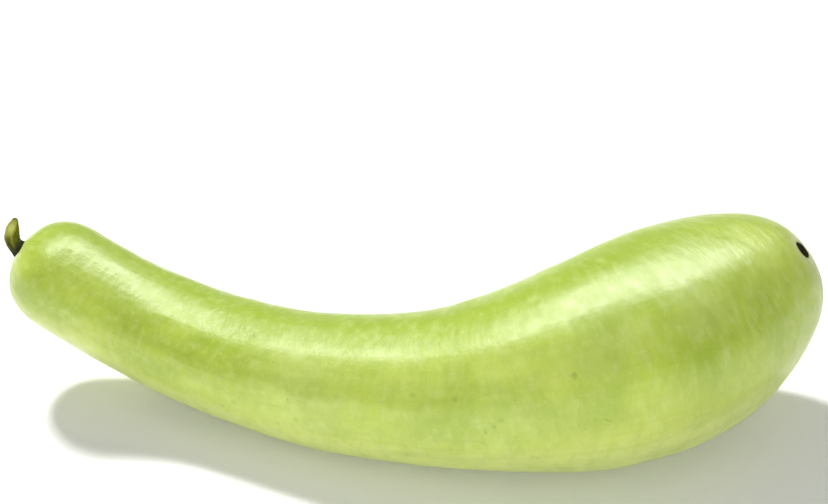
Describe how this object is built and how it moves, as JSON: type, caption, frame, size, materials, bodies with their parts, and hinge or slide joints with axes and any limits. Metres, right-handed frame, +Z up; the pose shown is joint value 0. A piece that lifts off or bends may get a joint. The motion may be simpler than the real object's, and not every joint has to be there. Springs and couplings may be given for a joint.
{
  "type": "bottle gourd",
  "caption": "Whole pale green bottle gourd lying on its side: a slim bent neck with a cut ribbed stalk swells into a fat end with a small corky blossom scar.",
  "frame": {"origin": "on the surface it lies on, under the middle of its bounding box", "axes": "+X runs the length of the gourd from the neck towards the blossom end, +Y points to the hollow side of its bow, and +Z is up from the flat spots it lies on"},
  "size_m": [0.3788, 0.1342, 0.0978],
  "materials": {
    "rind": "satin",
    "stalk": "matte",
    "cork": "matte"
  },
  "bodies": {
    "root": {"gourd_fruit": "rind", "stem_stub": "stalk", "blossom_scar": "cork"}
  },
  "joints": []
}
